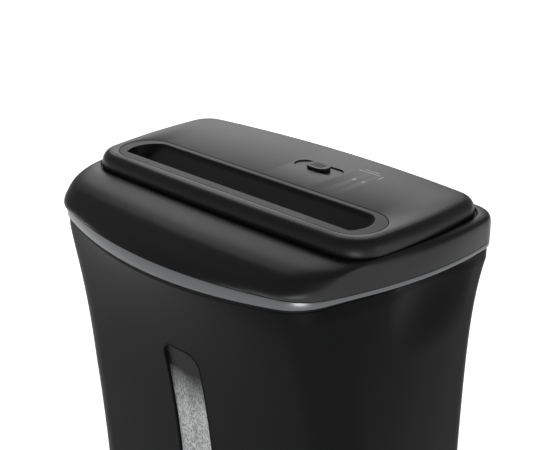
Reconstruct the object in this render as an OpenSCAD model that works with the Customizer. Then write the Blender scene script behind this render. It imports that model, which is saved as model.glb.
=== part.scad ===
// Deskside paper shredder: a cutting head that lifts off a waste bin.
// Millimetres. Origin at the middle of the footprint on the floor, +Z up, front towards -Y.

/* [Casing] */
// Overall width at the trim band
body_w = 320; // [314:1:326]
// Overall depth at the trim band
body_d = 216; // [212:1:222]
// Overall height to the top deck
body_h = 380; // [360:1:400]
// Wall thickness of the mouldings
wall = 2.5; // [2:0.1:3]
// Depth of the trim band's top edge below the deck
band_drop = 31; // [28:1:34]
// Height of the trim band along the sides
band_side = 3.5; // [3:0.5:5]
// Extra height of the trim band at the middle of the front
band_smile = 7; // [3:0.5:9]

/* [Bin] */
// How far the bin's front falls back from rim to base
bin_lean = 48; // [40:1:52]
// Width of the view window
window_w = 39; // [34:1:46]
// Height of the window's lower edge above the floor
window_low = 74; // [60:1:100]
// Height of the window's upper edge above the floor
window_high = 265; // [250:1:275]
// Depth of the finger scoops in the sides
scoop_depth = 9; // [6:0.5:11]

/* [Paper entry] */
// Width of the throat, for A4 paper
throat_w = 222; // [216:1:222]
// Gap of the throat
throat_gap = 7; // [5:0.5:8]
// Length of the entry bezel
bezel_w = 264; // [256:1:266]
// Depth of the entry bezel
bezel_d = 46; // [42:1:48]

/* [Cutting block] */
// Distance between the two cutter shafts
shaft_gap = 35; // [34.5:0.5:35.5]
// Outer radius of a cutter disc
cutter_r = 19; // [18:0.5:19.5]
// Thickness of a cutter disc
cutter_t = 3.6; // [3.2:0.1:3.7]
// Pitch of the discs along one shaft
cutter_pitch = 8; // [7.8:0.1:8]
// Hooks on each cutter disc
hooks = 6; // [4:1:8]
// Travel of the mode switch to each side
mode_travel = 6; // [4:0.5:7]

/* [Hidden] */
$fn = 48;

// ---- outline of the casing: five arcs a side, tangent to each other ----
// [half width, y of the widest point, side radius, front y, front radius, front corner,
//  back y, back radius, back corner]
rim = [body_w / 2, 50, 300, -body_d / 2, 357, 40, body_d / 2, 900, 20];
foot = [149, 42, 420, -47, 4000, 28, 101.5, 900, 22];
tub = [144, 34, 460, -76, 900, 30, 93, 900, 20];
arc_steps = [7, 7, 16, 7, 6];

deck_z = body_h;
band_z = body_h - band_drop;
seam_gap = 0.6;
tub_low = 283;
tub_floor = 2.5;
floor_z = tub_low + tub_floor;
flange_z = band_z - 2.6;

nip_y = -22.5;
bezel_y = -11;
shaft_z = 329;
front_y = nip_y - shaft_gap / 2;
rear_y = nip_y + shaft_gap / 2;
hex_r = 8;
spacer_r = 12.5;
plate_x = 111.5;
plate_t = 1.8;
journal_r = 6;
run_gap = 0.04;
pitch_count = 13;

// planes of the gear train, outwards from the left frame plate
plane1 = [-119.1, 5];
plane2 = [-124.7, 5];
plane3 = [-132.3, 7];
cover_x = -134.9;
cover_t = 2;
pin_r = 3;
timing_x = 115;
timing_w = 8;
timing_m = shaft_gap / 20;

mod1 = 0.8;
mod2 = 1;
mod3 = 1.5;
pinion_t = 12;
first_t = 58;
first_small_t = 12;
middle_t = 48;
middle_small_t = 10;
drive_t = 40;

motor_r = 27;
motor_pos = [52, 334];
rear_pos = [rear_y, shaft_z];
middle_pos = rear_pos + mod3 * (drive_t + middle_small_t) / 2 * [cos(20), sin(20)];
first_pos = meet(motor_pos, mod1 * (pinion_t + first_t) / 2, middle_pos, mod2 * (first_small_t + middle_t) / 2);

mode_pos = [20, 52];
plunger_pos = [127, 30];
lever_pos = [-12, 358];
post_spots = [[-128, 76], [128, 76], [-130, -55], [130, -55], [6, 86]];

// ---- helpers ----
function lerp(a, b, f) = a + (b - a) * f;
function clamp01(v) = min(1, max(0, v));
function polar(c, r, a) = [c.x + r * cos(a), c.y + r * sin(a)];
function heading(v) = atan2(v.y, v.x);
// Meeting point of two circles, on the left of the line from the first to the second
function meet(c1, r1, c2, r2) =
    let(v = c2 - c1, d = norm(v), u = v / d, along = (d * d + r1 * r1 - r2 * r2) / (2 * d))
    c1 + u * along + [-u.y, u.x] * sqrt(r1 * r1 - along * along);
function arc(c, r, a0, a1, n) = [for (i = [0:n - 1]) polar(c, r, lerp(a0, a1, i / n))];

// Right half of the outline, from the front middle to the back middle
function half_outline(p) =
    let(
        side_c = [p[0] - p[2], p[1]], front_c = [0, p[3] + p[4]], back_c = [0, p[6] - p[7]],
        k1 = meet(front_c, p[4] - p[5], side_c, p[2] - p[5]),
        k2 = meet(side_c, p[2] - p[8], back_c, p[7] - p[8]),
        a1 = heading(k1 - front_c), a2 = heading(k1 - side_c),
        a3 = heading(k2 - side_c), a4 = heading(k2 - back_c)
    )
    concat(
        arc(front_c, p[4], -90, a1, arc_steps[0]), arc(k1, p[5], a1, a2, arc_steps[1]),
        arc(side_c, p[2], a2, a3, arc_steps[2]), arc(k2, p[8], a3, a4, arc_steps[3]),
        arc(back_c, p[7], a4, 90, arc_steps[4]), [[0, p[6]]]
    );
function outline(p) =
    let(h = half_outline(p), n = len(h))
    concat(h, [for (i = [n - 2:-1:1]) [-h[i].x, h[i].y]]);
// The same outline moved inwards by t
function inset(p, t) =
    [p[0] - t, p[1], p[2] - t, p[3] + t, p[4] - t, p[5] - t, p[6] - t, p[7] - t, p[8] - t];
function level(p, z) = [for (q = outline(p)) [q.x, q.y, z]];

function backwards(v) = [for (i = [len(v) - 1:-1:0]) v[i]];

// Closed solid through a stack of rings that climbs its outside first; a looped stack has no caps
module skin(rings, looped = false) {
    n = len(rings[0]);
    k = len(rings);
    last = looped ? k - 1 : k - 2;
    sides = [for (j = [0:last]) for (i = [0:n - 1])
        let(a = j * n + i, b = j * n + (i + 1) % n, c = ((j + 1) % k) * n + i, d = ((j + 1) % k) * n + (i + 1) % n)
        each [[a, c, b], [b, c, d]]];
    caps = looped ? [] : [[for (i = [0:n - 1]) i], [for (i = [n - 1:-1:0]) (k - 1) * n + i]];
    polyhedron(points = [for (r = rings) each r], faces = concat(sides, caps), convexity = 6);
}
// Rod along X
module rod_x(x, y, z, r, l) { translate([x, y, z]) rotate([0, 90, 0]) cylinder(r = r, h = l); }
// Flat shape drawn as (y, z), given thickness along +X
module slab_x(x, t) { translate([x, 0, 0]) rotate([90, 0, 90]) linear_extrude(t) children(); }
module pill(w, d) {
    hull_w = w - d;
    square([hull_w, d], center = true);
    for (s = [-1, 1]) translate([s * hull_w / 2, 0]) circle(d = d);
}
// The same shape with its ends drawn as short straight edges
module pill_cut(w, d) {
    polygon([for (s = [1, -1]) each arc([s * (w - d) / 2, 0], d / 2, s > 0 ? -90 : 90, s > 0 ? 90 : 270, 18)]);
}
module rounded(w, d, r) {
    square([w, d - 2 * r], center = true);
    square([w - 2 * r, d], center = true);
    for (sx = [-1, 1], sy = [-1, 1]) translate([sx * (w / 2 - r), sy * (d / 2 - r)]) circle(r = r);
}

// ---- seam between head and bin: it dips towards the front ----
function smile(y) = let(s = clamp01((-40 - y) / (body_d / 2 - 40))) s * s;
function band_low(y) = band_z - band_side - band_smile * smile(y);
function seam_z(y) = band_low(y) - 0.8 - 2.8 * smile(y);

// ---- bin ----
function settle(u, scale) = 1 - exp(-u / scale);
// Outline of the bin at u below the seam
function bin_at(u) =
    let(k = clamp01(u / 150), lean = bin_lean * settle(u, 108) / settle(347, 108), tuck = settle(max(0, u - 9), 40))
    [
        body_w / 2 - 1.6 - 7 * tuck, lerp(50, 20, clamp01(u / 200)), 300 + 500 * clamp01(u / 200),
        -body_d / 2 + 1.6 + lean, 357 + 1200 * k, 40 - 5 * k,
        body_d / 2 - 1.6 - 9 * tuck, 900, 18
    ];
bump_y = 22;
bump_half = 46;
function bump(t) = let(k = clamp01(1 - t * t)) k * k;
// Depth of the finger scoop at a point of the side wall
function scoop(y, u) = scoop_depth * bump((y - bump_y) / bump_half) * (u < 0 ? 0 : clamp01(u / 3)) * bump(clamp01((u - 14) / 46));
bin_levels = [0, 3, 9, 16, 24, 34, 46, 60, 80, 110, 150, 200, 260, 320];
bin_low = 3;
bin_top = band_z - band_side;
// One ring of the bin's wall, u below the seam; the seam's dip fades out lower down
function bin_ring(u, t) =
    [for (q = outline(inset(bin_at(u), t)))
        let(dip = band_z - band_side - seam_z(q.y), pull = abs(q.x) > 100 ? scoop(q.y, u) : 0)
        [q.x - sign(q.x) * pull, q.y, bin_top - u - (dip + seam_gap) * (1 - clamp01(u / 80))]];
function bin_base(t, z, round_in) = level(inset(bin_at(340), t + round_in), z);

module window_shape(grow) {
    h = window_high - window_low;
    translate([0, 0, (window_high + window_low) / 2])
        rotate([90, 0, 0]) linear_extrude(100) rounded(window_w + 2 * grow, h + 2 * grow, 11 + grow);
}
module bin_shell() {
    outer = [for (i = [len(bin_levels) - 1:-1:0]) bin_ring(bin_levels[i], 0)];
    inner = [for (u = bin_levels) bin_ring(u, wall)];
    rings = concat(
        [bin_base(0, bin_low, 7), bin_base(0, bin_low + 1.8, 2), bin_base(0, 9, 0)], outer,
        inner, [bin_base(wall, 10, 0), bin_base(wall, bin_low + wall, 5)]
    );
    color("#232425") difference() {
        union() {
            skin(rings);
            // tab that holds the interlock plunger up
            translate([119, plunger_pos.y - 8, tab_z - 3]) cube([33, 16, 3]);
        }
        window_shape(0);
        for (sx = [-1, 1], y = [-38, 78]) translate([sx * 118, y, -1]) cylinder(r = 9, h = 5);
    }
}
module bin_window() {
    color("#8a8d90", 0.5) intersection() {
        skin(concat(
            [for (i = [len(bin_levels) - 1:-1:0]) bin_ring(bin_levels[i], wall + 0.1)],
            [for (u = bin_levels) bin_ring(u, wall + 2.1)]
        ), looped = true);
        window_shape(5);
    }
}
module bin_feet() {
    color("#111111") for (sx = [-1, 1], y = [-38, 78]) translate([sx * 118, y, 0]) cylinder(r = 9, h = 4);
}

// ---- head casing ----
// [share of the way in to the deck's outline, height below the deck], at the front and at the back
shoulder = [[1, -11], [0.8, -11.7], [0.58, -13.6], [0.39, -16.4], [0.27, -20], [0.13, -25], [0, -band_drop + 0.3]];
shoulder_back = [[1, -11], [0.7, -10.8], [0.42, -10.9], [0.2, -11.8], [0.06, -14], [0, -19], [0, -band_drop + 0.3]];
function fullness(y) = let(k = clamp01((y + 20) / 90)) k * k * (3 - 2 * k);
// Ring i of the shoulder, t inside its surface and drop below it
function shoulder_ring(i, t, drop) =
    let(a = outline(inset(lerp(rim, foot, shoulder[i][0]), t)), b = outline(inset(lerp(rim, foot, shoulder_back[i][0]), t)))
    [for (j = [0:len(a) - 1]) let(k = fullness(a[j].y), q = lerp(a[j], b[j], k))
        [q.x, q.y, deck_z - drop + lerp(shoulder[i][1], shoulder_back[i][1], k)]];
pillow = [[9.6, 0], [6, -0.6], [3.2, -2.2], [1.2, -5], [0.2, -8.5], [0, -11.6]];
// Points of the bezel's opening that face the points of the deck's outline
function bezel_edge(p, grow, z) = [for (q = outline(p))
    let(half = (bezel_w - bezel_d) / 2, c = [max(-half, min(half, q.x)), bezel_y], v = q - c)
    [c.x + v.x / norm(v) * (bezel_d / 2 + grow), c.y + v.y / norm(v) * (bezel_d / 2 + grow), z]];
module top_cover() {
    n = len(shoulder) - 1;
    outer = concat(
        [bezel_edge(foot, 0.3, deck_z)],
        [for (s = pillow) level(inset(foot, s[0]), deck_z + s[1])],
        [for (i = [0:n]) shoulder_ring(i, 0, 0)]
    );
    inner = concat(
        [for (i = [n:-1:1]) shoulder_ring(i, wall, i < n ? wall : 0)],
        [for (s = [[2.6, -14], [4, -7], [7, -3.2], [10.6, -wall]]) level(inset(foot, s[0]), deck_z + s[1])],
        [bezel_edge(foot, 0.3, deck_z - wall)]
    );
    color("#2a2b2c") difference() {
        union() {
            skin(backwards(concat(outer, inner)), looped = true);
            cover_bosses();
        }
        translate([mode_pos.x, mode_pos.y, deck_z - 0.9]) linear_extrude(2) pill_cut(46, 17);
        translate([mode_pos.x, mode_pos.y, deck_z - 8]) linear_extrude(10) pill_cut(2 * mode_travel + 10, 6);
        for (i = [0, 1]) translate([56 + 9 * i, mode_pos.y, deck_z - 8]) cylinder(r = 2, h = 10);
        for (i = [-7:7]) translate([-62 + 7 * i, 100, 353]) cube([3, 16, 9]);
        translate([98, 90, 357]) rotate([-90, 0, 0]) cylinder(r = 6.5, h = 30);
    }
}
module cover_bosses() {
    for (p = post_spots) translate([p.x, p.y, 350]) difference() {
        cylinder(r = 4.5, h = p.y < 0 ? 16.3 : 28.8);
        translate([0, 0, -1]) cylinder(r = 1.4, h = 10);
    }
}
module trim_band() {
    outer_top = level(rim, band_z);
    outer_low = [for (q = outline(rim)) [q.x, q.y, band_low(q.y)]];
    inner_low = [for (q = outline(inset(rim, 3))) [q.x, q.y, band_low(q.y)]];
    inner_top = level(inset(rim, 3), band_z);
    color("#8e9092") skin([outer_low, outer_top, inner_top, inner_low], looped = true);
}
module head_base() {
    edge = inset(rim, 3.1);
    under = inset(rim, 0.9);
    mid_in = inset(rim, 9);
    color("#1f2021") difference() {
        union() {
            skin([
                [for (q = outline(under)) [q.x, q.y, seam_z(q.y)]],
                [for (q = outline(under)) [q.x, q.y, band_low(q.y) - 0.05]],
                [for (q = outline(edge)) [q.x, q.y, band_low(q.y) - 0.05]],
                level(edge, band_z - 0.2),
                level(mid_in, band_z - 0.2),
                level(mid_in, flange_z),
                [for (q = outline(inset(rim, 5.5))) [q.x, q.y, flange_z]],
                [for (q = outline(inset(rim, 5.5))) [q.x, q.y, seam_z(q.y)]]
            ], looped = true);
            tub_walls();
            for (p = post_spots) translate([p.x, p.y, tub_low]) cylinder(r = 5, h = 350 - tub_low);
        }
        for (p = post_spots) translate([p.x, p.y, tub_low - 1]) {
            cylinder(r = 3.6, h = 342 - tub_low + 1);
            cylinder(r = 1.8, h = 80);
        }
        // outlet for the shreds
        translate([-109, -58, tub_low - 1]) cube([218, 70, 5]);
        translate([plunger_pos.x, plunger_pos.y, tub_low - 1]) cylinder(r = 3.4, h = 5);
        for (i = [0:8]) translate([-104 + 8 * i, 42, tub_low - 1]) cube([3.5, 38, 5]);
    }
}
module tub_walls() {
    translate([0, 0, tub_low]) linear_extrude(tub_floor) polygon(outline(tub));
    translate([0, 0, tub_low]) linear_extrude(band_z - 0.2 - tub_low) difference() {
        polygon(outline(tub));
        polygon(outline(inset(tub, 2.2)));
    }
    translate([0, 0, flange_z]) linear_extrude(2.4) difference() {
        polygon(outline(inset(rim, 8)));
        polygon(outline(inset(tub, 2.2)));
    }
}
module slot_bezel() {
    y0 = bezel_y - bezel_d / 2;
    y1 = bezel_y + bezel_d / 2;
    t0 = nip_y - throat_gap / 2;
    t1 = nip_y + throat_gap / 2;
    hx = throat_w / 2;
    well = hx + 11;
    color("#1b1c1d") difference() {
        union() {
            translate([0, bezel_y, deck_z - 6]) linear_extrude(5.8) pill(bezel_w, bezel_d);
            translate([0, bezel_y, deck_z - 6]) linear_extrude(3.1) pill(bezel_w + 6, bezel_d + 6);
            slab_x(-well - 2, 2 * well + 4)
                polygon([[t0 - 2, deck_z - 4], [y1 - 2, deck_z - 4], [t1 + 2, 362], [t1 + 2, 350], [t0 - 2, 350]]);
        }
        slab_x(-well, 2 * well) polygon([[t0, deck_z + 1], [t0, 368], [t1, 366], [y1 - 3, deck_z - 0.4], [y1 - 3, deck_z + 1]]);
        translate([-hx, t0, 340]) cube([2 * hx, throat_gap, 50]);
        translate([-2.5, t1 - 1, 340]) cube([5, 6, 22.5]);
    }
}
module housing_screws() {
    color("silver") for (p = post_spots) translate([p.x, p.y, 0]) {
        translate([0, 0, 339.4]) cylinder(r = 3.2, h = 2.6);
        translate([0, 0, 342]) cylinder(r = 1.4, h = 15);
    }
}

// ---- cutting block ----
module plate_outline(y0, y1, z1) {
    difference() {
        translate([y0, floor_z]) square([y1 - y0, z1 - floor_z]);
        translate([front_y, shaft_z]) circle(r = 9);
        translate([rear_y, shaft_z]) circle(r = 9);
        for (q = rod_spots) translate(q) circle(r = 2.2);
        for (c = [[y0, z1], [y1, z1]]) translate(c) rotate(45) square(14, center = true);
        // room for the paper funnel
        translate([-30, 349.5]) square([20, 20]);
    }
}
rod_spots = [[-56, 356], [-56, 300], [16, 355], [14, 299]];
module left_frame_plate() {
    color("#c8cacc") slab_x(-plate_x - plate_t, plate_t) difference() {
        plate_outline(-66, 82, 364);
        translate(motor_pos) circle(r = 8);
        translate(middle_pos) circle(r = pin_r);
        translate(first_pos) circle(r = pin_r);
        for (q = motor_screw_spots) translate(q) circle(r = 1.6);
    }
}
module right_frame_plate() {
    color("#c8cacc") slab_x(plate_x, plate_t) plate_outline(-66, 24, 364);
}
module tie_rods() {
    color("#d4d6d8") for (q = rod_spots) {
        rod_x(-plate_x, q[0], q[1], 3.5, 2 * plate_x);
        rod_x(-plate_x - plate_t, q[0], q[1], 2.2, 2 * (plate_x + plate_t));
    }
}
module shaft_bushes() {
    color("#b08d4f") for (y = [front_y, rear_y], s = [-1, 1]) difference() {
        union() {
            rod_x(s > 0 ? plate_x : -plate_x - plate_t, y, shaft_z, 9, plate_t);
            rod_x(s > 0 ? plate_x - 1.2 : -plate_x, y, shaft_z, 10.5, 1.2);
        }
        rod_x(s > 0 ? plate_x - 5 : -plate_x - 5, y, shaft_z, journal_r + run_gap, 10);
    }
}
// Fingers that strip the cut paper out of the gaps between discs; s is the side away from the nip
module comb(y, s, xs) {
    color("#2f3133") difference() {
        union() {
            translate([-plate_x, min(y + s * 21, y + s * 24.5), shaft_z - 17]) cube([2 * plate_x, 3.5, 34]);
            for (x = xs) slab_x(x - 1.5, 3) translate([min(y - s * 3, y + s * 23), shaft_z - 17]) square([26, 34]);
        }
        rod_x(-plate_x - 1, y, shaft_z, spacer_r + 0.9, 2 * plate_x + 2);
    }
}
front_xs = [for (i = [-pitch_count:pitch_count]) i * cutter_pitch];
rear_xs = [for (i = [-pitch_count:pitch_count - 1]) (i + 0.5) * cutter_pitch];
module front_comb() { comb(front_y, -1, rear_xs); }
module rear_comb() { comb(rear_y, 1, [for (i = [1:len(front_xs) - 2]) front_xs[i]]); }

function hook_ring() = [for (k = [0:hooks - 1]) each
    let(a = 360 * k / hooks, w = 360 / hooks)
    [polar([0, 0], cutter_r - 3, a), polar([0, 0], cutter_r, a + 0.5), polar([0, 0], cutter_r, a + w * 0.3),
     polar([0, 0], cutter_r - 0.3, a + w * 0.55), polar([0, 0], cutter_r - 1, a + w * 0.8), polar([0, 0], cutter_r - 2, a + w * 0.95)]];
module discs(y, xs, dir) {
    color("#9a9da0") for (i = [0:len(xs) - 1])
        slab_x(xs[i] - cutter_t / 2, cutter_t) translate([y, shaft_z]) difference() {
            rotate(9 * i * dir) polygon(hook_ring());
            circle(r = hex_r, $fn = 6);
        }
}
module spacers(y, xs) {
    reach = plate_x - 1.4;
    edges = concat([-reach], [for (x = xs) each [x - cutter_t / 2, x + cutter_t / 2]], [reach]);
    color("#5c5f62") for (i = [0:len(xs)])
        slab_x(edges[2 * i], edges[2 * i + 1] - edges[2 * i]) translate([y, shaft_z]) difference() {
            circle(r = spacer_r);
            circle(r = hex_r, $fn = 6);
        }
}
module hex_bar(y) { slab_x(-plate_x + 1.4, 2 * plate_x - 2.8) translate([y, shaft_z]) circle(r = hex_r, $fn = 6); }
module front_shaft() {
    color("#bfc2c4") {
        hex_bar(front_y);
        rod_x(-plate_x - 2.2, front_y, shaft_z, journal_r, 3.6);
        rod_x(plate_x - 1.4, front_y, shaft_z, journal_r, timing_x + timing_w - plate_x + 1.4);
    }
}
module rear_shaft() {
    color("#bfc2c4") {
        hex_bar(rear_y);
        rod_x(plane3[0] - 0.2, rear_y, shaft_z, journal_r, -plate_x + 1.4 - plane3[0] + 0.2);
        rod_x(cover_x, rear_y, shaft_z, 4, plane3[0] - 0.2 - cover_x);
        rod_x(plate_x - 1.4, rear_y, shaft_z, journal_r, timing_x + timing_w - plate_x + 1.4);
    }
}
module front_cutters() { discs(front_y, front_xs, 1); }
module rear_cutters() { discs(rear_y, rear_xs, -1); }
module front_spacers() { spacers(front_y, front_xs); }
module rear_spacers() { spacers(rear_y, rear_xs); }

// ---- gears ----
press_angle = 20;
function inv_deg(a) = tan(a) * 180 / PI - a;
// Outline of a spur gear with a tooth on the +x side; slack thins the teeth
function gear_ring(m, z, slack) =
    let(r = m * z / 2, rb = r * cos(press_angle), tip = r + 0.85 * m, root = r - 1.15 * m,
        half = 90 / z - slack / r * 90 / PI, low = max(rb, root),
        flank = [for (i = [0:3]) let(q = lerp(low, tip, i / 3)) [q, half + inv_deg(press_angle) - inv_deg(acos(min(1, rb / q)))]])
    [for (k = [0:z - 1]) each let(a = 360 * k / z) concat(
        [polar([0, 0], root, a - flank[0][1])],
        [for (f = flank) polar([0, 0], f[0], a - f[1])],
        [for (i = [3:-1:0]) polar([0, 0], flank[i][0], a + flank[i][1])],
        [polar([0, 0], root, a + flank[0][1])]
    )];
module gear(pos, x, w, m, z, turn, bore) {
    slab_x(x, w) translate(pos) difference() {
        rotate(turn) polygon(gear_ring(m, z, 0.12 * m + 0.04));
        circle(r = bore);
    }
}
function toward(a, b) = heading(b - a);
function gap_turn(a, b, z) = toward(a, b) + 180 / z;
front_pos = [front_y, shaft_z];

module front_timing_gear() { color("#d8d2c0") gear(front_pos, timing_x, timing_w, timing_m, 20, 0, journal_r); }
module rear_timing_gear() { color("#d8d2c0") gear(rear_pos, timing_x, timing_w, timing_m, 20, 180 + 9, journal_r); }
module drive_gear() {
    color("#d8d2c0") gear(rear_pos, plane3[0], plane3[1], mod3, drive_t, gap_turn(rear_pos, middle_pos, drive_t), journal_r);
}
module middle_gear() {
    color("#e2dcc8") {
        gear(middle_pos, plane3[0], plane3[1], mod3, middle_small_t, toward(middle_pos, rear_pos), pin_r + run_gap);
        gear(middle_pos, plane2[0], plane2[1], mod2, middle_t, gap_turn(middle_pos, first_pos, middle_t), pin_r + run_gap);
        gear_hub(middle_pos, plane3[0] + plane3[1], plane2[0], 5);
    }
}
module first_gear() {
    color("#e2dcc8") {
        gear(first_pos, plane2[0], plane2[1], mod2, first_small_t, toward(first_pos, middle_pos), pin_r + run_gap);
        gear(first_pos, plane1[0], plane1[1], mod1, first_t, gap_turn(first_pos, motor_pos, first_t), pin_r + run_gap);
        gear_hub(first_pos, plane2[0] + plane2[1], plane1[0], 4.5);
    }
}
module gear_hub(pos, x0, x1, r) {
    slab_x(x0, x1 - x0) translate(pos) difference() {
        circle(r = r);
        circle(r = pin_r + run_gap);
    }
}
module gear_pins() {
    color("#d4d6d8") for (q = [middle_pos, first_pos]) rod_x(cover_x, q[0], q[1], pin_r, -plate_x - cover_x);
}
cover_spots = [[-30, 303], [-32.2, 355], [57, 358], [64, 298]];
module gear_posts() {
    color("#d4d6d8") for (q = cover_spots) slab_x(cover_x + cover_t, -plate_x - plate_t - cover_x - cover_t)
        translate(q) difference() {
            circle(r = 4);
            circle(r = 1.4);
        }
}
module gear_cover() {
    color("#c8cacc") slab_x(cover_x, cover_t) difference() {
        polygon([[-35.5, 297], [-35.5, 361], [4, 369], [52, 369], [69, 352], [70, 292], [28, 290]]);
        translate(rear_pos) circle(r = 4 + run_gap);
        translate(middle_pos) circle(r = pin_r);
        translate(first_pos) circle(r = pin_r);
        for (q = cover_spots) translate(q) circle(r = 2.6);
    }
}
module gear_cover_screws() {
    color("silver") for (q = cover_spots) {
        rod_x(cover_x, q[0], q[1], 2.6, cover_t);
        rod_x(cover_x + cover_t, q[0], q[1], 1.4, 8);
    }
}

// ---- motor ----
can_x = [-106, 54];
motor_screw_spots = [motor_pos + [12, 12], motor_pos + [12, -12]];
module motor_tube(x, l, r_out, r_in) {
    slab_x(x, l) translate(motor_pos) difference() {
        circle(r = r_out, $fn = 72);
        circle(r = r_in, $fn = 72);
    }
}
module motor_can() { color("#8f9295") motor_tube(can_x[0], can_x[1], motor_r, motor_r - 1.5); }
module motor_front_cap() {
    color("#6d7073") difference() {
        motor_tube(-plate_x, 5.5, motor_r, 2.5 + run_gap);
        for (q = motor_screw_spots) rod_x(-plate_x - 1, q[0], q[1], 1.5, 5.5);
    }
}
module motor_rear_cap() {
    color("#26282a") difference() {
        motor_tube(can_x[0] + can_x[1], 5, motor_r, 2.5 + run_gap);
        for (k = [0:5]) slab_x(-60, 20) translate(motor_pos) rotate(60 * k + 15) translate([16, 0]) circle(r = 4);
    }
}
module motor_stator() { color("#7a4a2c") motor_tube(can_x[0] + 8, 38, motor_r - 1.5, 18.5); }
module motor_screws() {
    color("silver") for (q = motor_screw_spots) {
        rod_x(-plate_x - plate_t - 0.7, q[0], q[1], 3, 0.7);
        rod_x(-plate_x - plate_t, q[0], q[1], 1.5, plate_t + 4);
    }
}
module motor_shaft() { color("#d4d6d8") rod_x(plane1[0], motor_pos[0], motor_pos[1], 2.5, 82); }
module motor_rotor() { color("#6b6e70") motor_tube(can_x[0] + 8, 38, 17.5, 2.5); }
module motor_pinion() {
    color("#b08d4f") gear(motor_pos, plane1[0], plane1[1], mod1, pinion_t, toward(motor_pos, first_pos), 2.5);
}
module motor_fan() {
    color("#3a3c3e") {
        motor_tube(-45.5, 7, 6, 2.5);
        for (k = [0:7]) slab_x(-45.5, 6) translate(motor_pos) rotate(45 * k) translate([5.5, -0.8]) square([16, 1.6]);
    }
}

// ---- electronics ----
board_at = [-12, 26, 304];
board_size = [108, 54, 1.6];
board_spots = [[5, 5], [103, 5], [5, 49], [103, 49]];
module control_board() {
    color("#1f5c3a") translate(board_at) difference() {
        cube(board_size);
        for (q = board_spots) translate([q.x, q.y, -1]) cylinder(r = 1.6, h = 4);
    }
}
module board_parts() {
    translate(board_at + [0, 0, board_size.z]) {
        color("#2b4f9e") translate([14, 10, 0]) cube([19, 15, 15]);
        color("#d9c23a") translate([40, 8, 0]) cube([18, 8, 14]);
        color("#222222") for (i = [0, 1]) translate([44 + 14 * i, 28, 0]) cylinder(r = 5, h = 18);
        color("#9c9c9c") translate([72, 12, 0]) cube([4, 26, 22]);
        color("#f0f0ea") translate([84, 12, 0]) cube([8, 30, 9]);
        color("#111111") translate([14, 32, 0]) cube([14, 9, 4]);
    }
}
module board_posts() {
    color("#d8d2c0") for (q = board_spots) translate([board_at.x + q.x, board_at.y + q.y, floor_z]) difference() {
        cylinder(r = 3.2, h = board_at.z - floor_z);
        translate([0, 0, 8]) cylinder(r = 1.4, h = 30);
    }
}
module board_screws() {
    color("silver") for (q = board_spots) translate([board_at.x + q.x, board_at.y + q.y, board_at.z]) {
        translate([0, 0, board_size.z]) cylinder(r = 2.6, h = 1.8);
        translate([0, 0, -7]) cylinder(r = 1.4, h = 7 + board_size.z);
    }
}
module cable_gland() {
    color("#151515") translate([98, 0, 357]) rotate([-90, 0, 0]) difference() {
        union() {
            translate([0, 0, 95.5]) cylinder(r = 6.5, h = 12);
            translate([0, 0, 95.5]) cylinder(r = 7.4, h = 3);
        }
        translate([0, 0, 91]) cylinder(r = 3.8, h = 20);
    }
}
module mode_switch_body() {
    color("#202122") translate([mode_pos.x, mode_pos.y, 0]) difference() {
        union() {
            translate([-17, -7, 360]) cube([34, 14, 13]);
            for (x = [-17, 13]) translate([x, -7, 360]) cube([4, 14, deck_z - wall - 360]);
        }
        translate([-mode_travel - 3.3, -2.6, 364]) cube([2 * mode_travel + 6.6, 5.2, 20]);
    }
}
module mode_knob() {
    color("#3a3b3d") translate([mode_pos.x, mode_pos.y, 0]) difference() {
        union() {
            translate([0, 0, deck_z - 0.6]) linear_extrude(2.6) pill(20, 13);
            translate([-3, -2.2, 366]) cube([6, 4.4, deck_z - 366]);
        }
        for (i = [-2:2]) translate([i * 2.4 - 0.5, -4, deck_z + 1.4]) cube([1, 8, 2]);
    }
}
module indicator_lenses() {
    color("#a9c7b0") for (i = [0, 1]) translate([56 + 9 * i, mode_pos.y, deck_z - 6]) {
        cylinder(r = 2, h = 5.9);
        cylinder(r = 3, h = 2.5);
    }
}

// ---- paper sensor ----
module feed_lever() {
    color("#e8e8e4") slab_x(-1.5, 3) translate(lever_pos) difference() {
        union() {
            circle(r = 3);
            rotate(196) translate([0, -1.2]) square([13, 2.4]);
            rotate(50) translate([0, -1]) square([5.5, 2]);
        }
        circle(r = 1.2 + run_gap);
    }
}
module lever_pin() { color("#d4d6d8") rod_x(-7, lever_pos[0], lever_pos[1], 1.2, 14); }
module lever_bracket() {
    color("#2f3133") for (s = [-1, 1]) slab_x(s > 0 ? 4 : -6, 2) difference() {
        polygon([[-16.8, 351], [9, 351], [9, 373.8], [6, 373.8], [-16.8, 361.9]]);
        translate(lever_pos) circle(r = 1.2);
    }
}
module feed_switch() {
    color("#1b1b1b") translate([-4, 0, 353]) cube([8, 9, 9.5]);
}

// ---- bin interlock ----
tab_z = 271.5;
plunger_low = tab_z + 0.3;
plunger_high = 314;
module safety_plunger() {
    color("#d9d9d4") translate([plunger_pos.x, plunger_pos.y, 0]) {
        translate([0, 0, plunger_low]) cylinder(r = 3, h = plunger_high - plunger_low);
        translate([0, 0, 290.5]) cylinder(r = 5, h = 1.5);
    }
}
function coil_point(r, h, turns, t) = [r * cos(360 * turns * t), r * sin(360 * turns * t), h * t];
module plunger_spring() {
    r = 4.2;
    wire = 0.45;
    h = 5;
    turns = 3.5;
    steps = 56;
    rings = [for (i = [0:steps]) let(t = i / steps, a = 360 * turns * t, c = coil_point(r, h, turns, t))
        [for (k = [0:7]) let(b = 45 * k) [c.x + wire * cos(b) * cos(a), c.y + wire * cos(b) * sin(a), c.z + wire * sin(b)]]];
    color("#c9cbcd") translate([plunger_pos.x, plunger_pos.y, 292.5 + wire]) skin(rings);
}
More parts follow.
